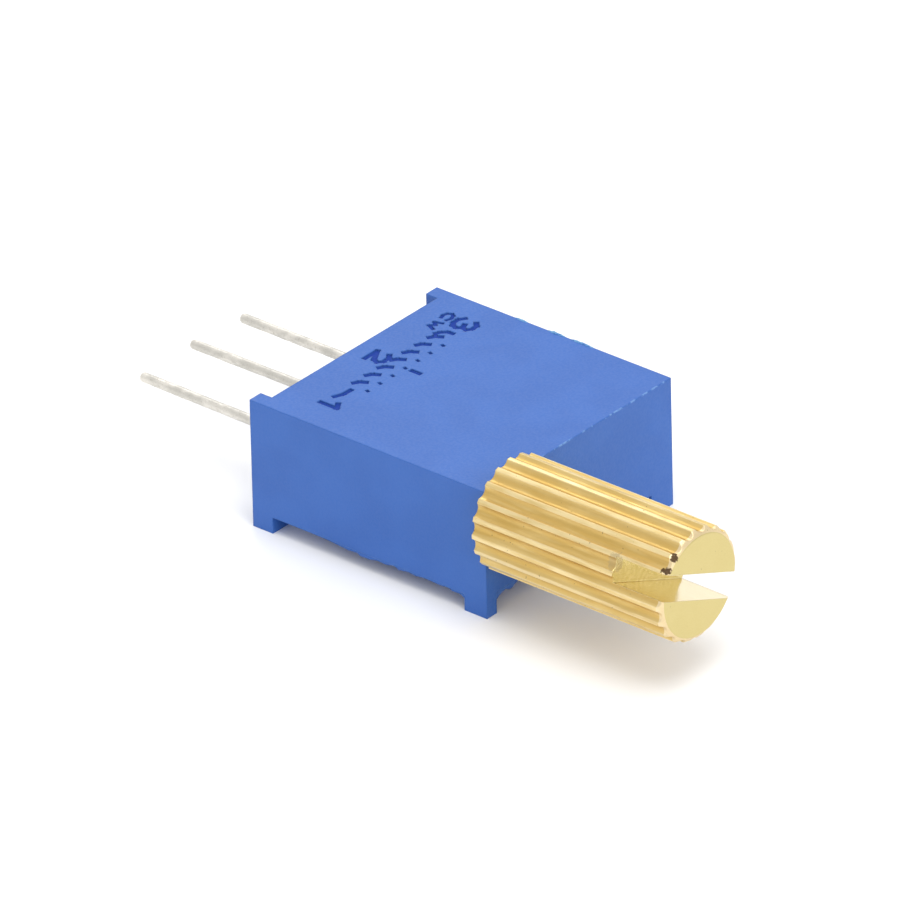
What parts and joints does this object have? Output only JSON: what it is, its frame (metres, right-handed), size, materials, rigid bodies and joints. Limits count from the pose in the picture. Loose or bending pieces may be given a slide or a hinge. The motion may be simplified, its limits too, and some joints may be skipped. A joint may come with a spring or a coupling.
{
  "type": "multi-turn trimmer potentiometer",
  "caption": "Square worm-driven trimmer potentiometer with in-line round terminals and a slotted, knurled brass adjusting shaft.",
  "frame": {"origin": "the middle terminal's axis, in the plane of the rail tips that stand on the board", "axes": "+Y from the board towards the screw end, along the screw; +Z out of the marked face; terminals leave towards -Y"},
  "size_m": [0.0104, 0.0245, 0.0055],
  "materials": {
    "blue_moulding": "satin moulded",
    "blue_resin": "cast resin",
    "brass": "turned",
    "ring_rubber": "matte",
    "clip_steel": "satin",
    "wheel_plastic": "moulded",
    "contact_metal": "rolled sheet",
    "alumina": "fired",
    "track_film": "fired film",
    "conductor_film": "fired film",
    "tinned_wire": "dull tinned",
    "solder": "satin"
  },
  "bodies": {
    "case": {"housing": "blue_moulding", "sealing_resin": "blue_resin", "retainer_clip": "clip_steel", "substrate": "alumina", "resistive_track": "track_film", "collector_track": "conductor_film", "end_conductor_1": "conductor_film", "end_conductor_3": "conductor_film", "terminal_1": "tinned_wire", "terminal_2": "tinned_wire", "terminal_3": "tinned_wire", "solder_1": "solder", "solder_2": "solder", "solder_3": "solder"},
    "screw": {"adjusting_screw": "brass", "knurled_shaft": "brass", "o_ring": "ring_rubber"},
    "wheel": {"worm_wheel": "wheel_plastic", "wiper_spring": "contact_metal"}
  },
  "joints": [
    {"name": "screw_turn", "type": "hinge", "parent": "case", "child": "screw", "pos_m": [0.00356, 0.0135, 0.00104], "axis": [0, 1, 0], "range_deg": [-4500, 4500]},
    {"name": "wheel_turn", "type": "hinge", "parent": "case", "child": "wheel", "pos_m": [0, 0.00495, 0.00104], "axis": [0, 0, 1], "range_deg": [-166.67, 166.67]}
  ],
  "couplings": [
    {"joint": "wheel_turn", "follows": "screw_turn", "ratio": -0.037037}
  ]
}
